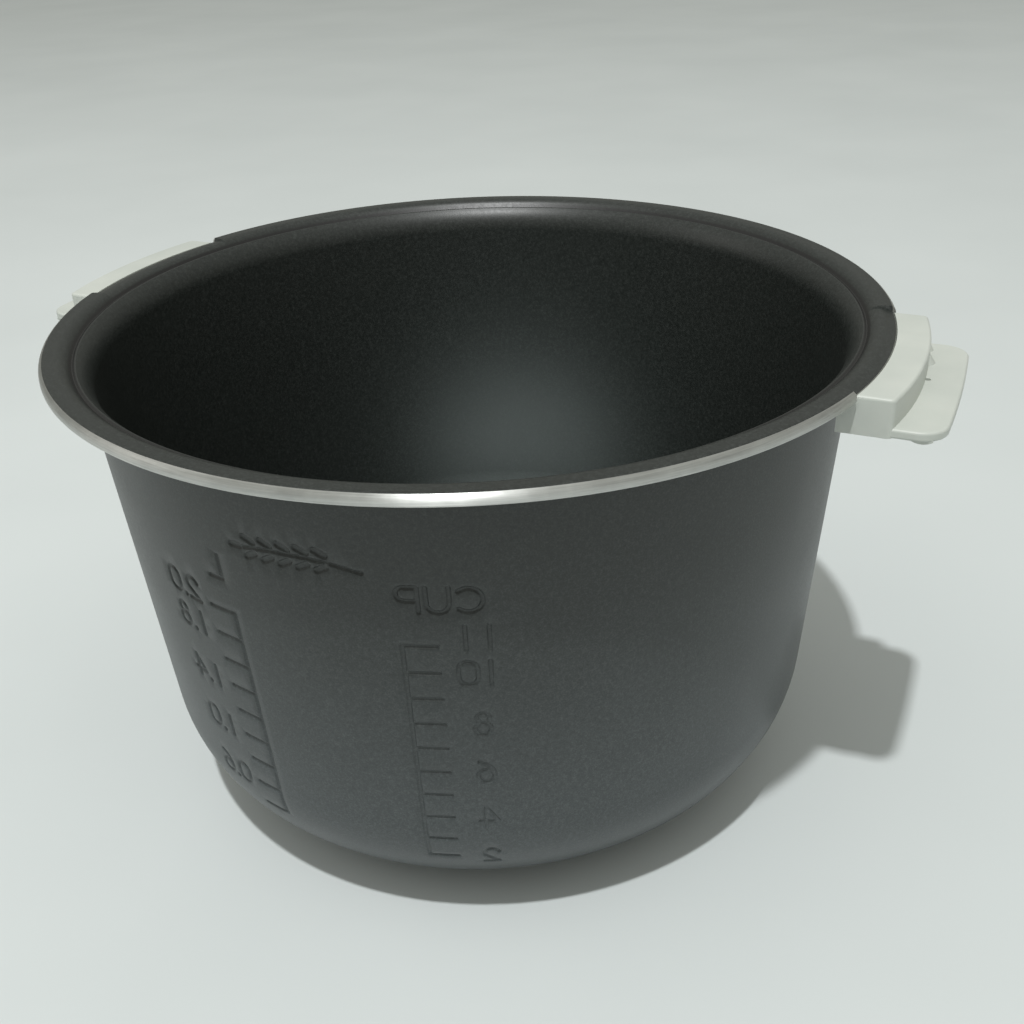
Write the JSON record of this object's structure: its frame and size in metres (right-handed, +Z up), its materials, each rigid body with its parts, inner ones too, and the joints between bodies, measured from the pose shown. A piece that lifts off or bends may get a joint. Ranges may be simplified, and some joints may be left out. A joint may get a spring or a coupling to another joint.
{
  "type": "rice cooker inner pot",
  "caption": "Removable inner pot of a rice cooker: a deep round bowl with a flat rim flange, stamped level scales and a screwed-on grip on each side.",
  "frame": {"origin": "centre of the flat base that stands on the heating plate or on a table", "axes": "+Z up along the bowl's axis, +X through the middle of one grip, the level scales on the -Y side"},
  "size_m": [0.2746, 0.24, 0.149],
  "materials": {
    "coated_aluminium": "dark grey speckled non-stick coating inside and out, with a bare polished cut edge on the rim",
    "ivory_plastic": "satin moulded ivory plastic",
    "bracket_steel": "stainless sheet",
    "screw_steel": "bright plated"
  },
  "bodies": {
    "root": {"pot_shell": "coated_aluminium", "handle_right": "ivory_plastic", "handle_left": "ivory_plastic", "bracket_right": "bracket_steel", "bracket_left": "bracket_steel", "screw_right_back": "screw_steel", "screw_right_front": "screw_steel", "screw_left_back": "screw_steel", "screw_left_front": "screw_steel"}
  },
  "joints": []
}
